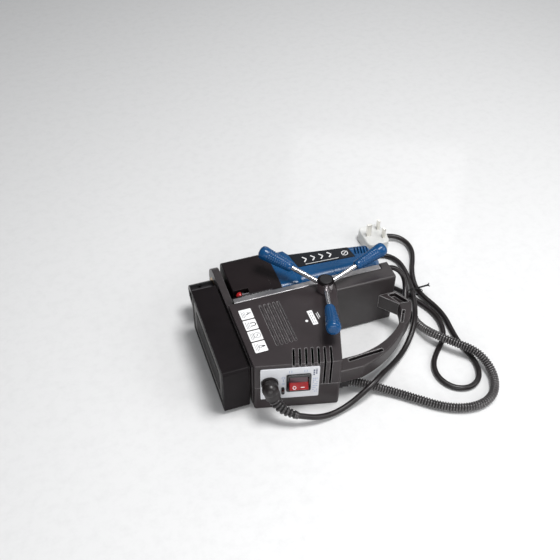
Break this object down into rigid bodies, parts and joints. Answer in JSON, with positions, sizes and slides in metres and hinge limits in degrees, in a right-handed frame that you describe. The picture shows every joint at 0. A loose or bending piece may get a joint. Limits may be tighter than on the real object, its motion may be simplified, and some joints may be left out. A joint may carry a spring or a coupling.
{
  "type": "magnetic drill press",
  "caption": "Portable magnetic drill press lying on its side: rack-fed geared motor slide on a column, magnet base, electrics housing, carry handle and mains lead.",
  "frame": {"origin": "middle of the footprint of the machine without its cords, on the surface that it lies on", "axes": "+X up the machine from the magnet's pole face, +Y towards the drill's front, +Z out of the machine's left side"},
  "size_m": [0.39, 0.3855, 0.1286],
  "materials": {
    "blackened_steel": "black oxide",
    "board_green": "lacquered",
    "bright_steel": "polished",
    "bronze": "turned",
    "cable_rubber": "smooth",
    "cap_red": "moulded",
    "carbon": "pressed carbon",
    "conduit_black": "corrugated",
    "copper_wire": "enamelled winding",
    "core_steel": "laminated",
    "cover_plastic": "fine grained black moulding",
    "fan_plastic": "moulded",
    "gearbox_black": "black paint on a die casting",
    "grip_black": "grained black nylon",
    "grip_blue": "moulded",
    "label_black": "gloss film",
    "machined_steel": "ground",
    "magnet_paint": "satin black paint",
    "motor_blue": "satin blue moulding",
    "panel_white": "semi-gloss laminate",
    "pin_nickel": "nickel plated",
    "plug_white": "moulded",
    "pole_resin": "cast resin",
    "scale_grey": "anodised",
    "stand_casting": "black powder coat on an aluminium casting",
    "switch_black": "moulded gloss",
    "switch_red": "translucent gloss",
    "tie_black": "moulded"
  },
  "bodies": {
    "stand": {"magnet_housing": "magnet_paint", "magnet_coil": "copper_wire", "magnet_filler": "pole_resin", "magnet_bolts": "blackened_steel", "stand_frame": "stand_casting", "arbor_guide_bush": "bronze", "guide_strip_left": "machined_steel", "guide_strip_right": "machined_steel", "guide_strip_screws": "blackened_steel", "pinion_bushes": "bronze", "cover_left": "cover_plastic", "cover_right": "cover_plastic", "cover_screws": "blackened_steel", "switch_panel": "panel_white", "switch_bezel": "switch_black", "control_board": "board_green", "carry_handle": "grip_black", "handle_screws": "blackened_steel", "cable_gland": "cable_rubber", "cord_strain_relief": "cable_rubber", "power_cord": "cable_rubber", "plug_body": "plug_white", "plug_pins": "pin_nickel", "cord_tie": "tie_black", "conduit_gland": "conduit_black", "motor_conduit": "conduit_black"},
    "slide": {"slide_plate": "blackened_steel", "slide_screws": "blackened_steel", "feed_rack": "machined_steel", "gearbox_housing": "gearbox_black", "motor_adapter": "gearbox_black", "adapter_screws": "blackened_steel", "depth_scale": "scale_grey", "gearbox_bearings": "bright_steel", "motor_bearings": "bright_steel", "motor_housing": "motor_blue", "motor_tail": "motor_blue", "motor_label": "label_black", "stator": "core_steel", "motor_brushes": "carbon", "brush_caps": "switch_black", "motor_gland": "cable_rubber", "motor_cable": "cable_rubber", "coolant_inlet": "blackened_steel", "coolant_cap": "cap_red"},
    "spindle": {"arbor": "blackened_steel", "arbor_gear": "machined_steel", "arbor_set_screws": "blackened_steel"},
    "layshaft": {"layshaft": "machined_steel", "layshaft_gear": "machined_steel"},
    "armature": {"armature_shaft": "machined_steel", "armature_core": "core_steel", "commutator": "copper_wire", "cooling_fan": "fan_plastic"},
    "capstan": {"pinion_shaft": "machined_steel", "capstan_hub": "blackened_steel", "hub_cap": "switch_black", "feed_handle_rods": "bright_steel", "feed_handle_grips": "grip_blue"},
    "switch": {"switch_rocker": "switch_red"}
  },
  "joints": [
    {"name": "slide_feed", "type": "slide", "parent": "stand", "child": "slide", "axis": [1, 0, 0], "range_m": [0, 0.075], "deforming": ["motor_cable"]},
    {"name": "capstan_turn", "type": "hinge", "parent": "stand", "child": "capstan", "pos_m": [0.0275, 0.00813, 0.1], "axis": [0, 0, 1], "range_deg": [-460, 0]},
    {"name": "switch_press", "type": "hinge", "parent": "stand", "child": "switch", "pos_m": [-0.05366, -0.10563, 0.0555], "axis": [0.9722, -0.2344, 0], "range_deg": [0, 20]},
    {"name": "arbor_spin", "type": "hinge", "parent": "slide", "child": "spindle", "pos_m": [-0.092, 0.09813, 0.045], "axis": [1, 0, 0], "continuous": true},
    {"name": "layshaft_spin", "type": "hinge", "parent": "slide", "child": "layshaft", "pos_m": [-0.062, 0.08236, 0.02895], "axis": [1, 0, 0], "continuous": true},
    {"name": "armature_spin", "type": "hinge", "parent": "slide", "child": "armature", "pos_m": [0.038, 0.07513, 0.045], "axis": [1, 0, 0], "continuous": true}
  ],
  "couplings": [
    {"joint": "capstan_turn", "follows": "slide_feed", "rad_per_m": -106.67},
    {"joint": "layshaft_spin", "follows": "arbor_spin", "ratio": -4},
    {"joint": "armature_spin", "follows": "arbor_spin", "ratio": 18}
  ]
}
